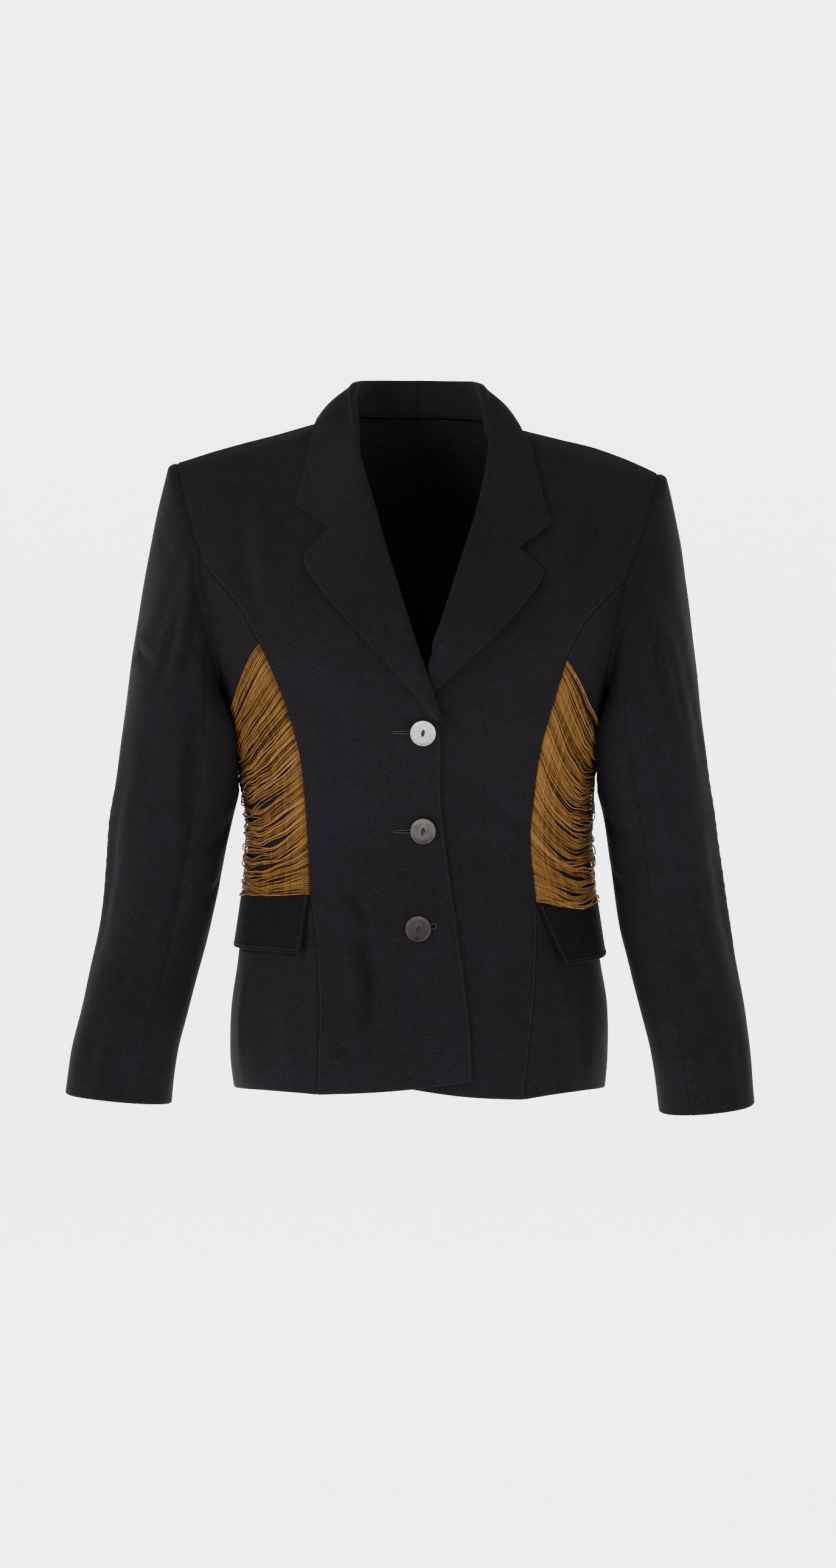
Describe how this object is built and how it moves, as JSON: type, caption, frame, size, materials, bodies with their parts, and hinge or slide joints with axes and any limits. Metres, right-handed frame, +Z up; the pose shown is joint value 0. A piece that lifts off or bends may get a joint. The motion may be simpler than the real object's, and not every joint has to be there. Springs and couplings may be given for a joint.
{
  "type": "blazer",
  "caption": "Fitted single-breasted blazer in near-black cloth, worn form, with notched lapels, pocket flaps, metal buttons and swagged gold cords over both side panels.",
  "frame": {"origin": "base of the neck, midway between the two points where the shoulder seams meet the neck", "axes": "+Z up, the front faces -Y, +X to the wearer's left"},
  "size_m": [0.6324, 0.2498, 0.6732],
  "materials": {
    "cloth": "matt woven crepe",
    "gold_cord": "twisted metallic cord",
    "button_light": "brushed",
    "button_mid": "brushed",
    "button_dark": "brushed"
  },
  "bodies": {
    "root": {"right_front": "cloth", "right_side_panel": "cloth", "right_back": "cloth", "right_under_sleeve": "cloth", "right_upper_sleeve": "cloth", "right_lapel_and_collar": "cloth", "right_pocket_flap": "cloth", "left_front": "cloth", "left_side_panel": "cloth", "left_back": "cloth", "left_under_sleeve": "cloth", "left_upper_sleeve": "cloth", "left_lapel_and_collar": "cloth", "left_pocket_flap": "cloth", "right_gold_cords": "gold_cord", "left_gold_cords": "gold_cord", "button_top": "button_light", "button_middle": "button_mid", "button_low": "button_dark"}
  },
  "joints": []
}
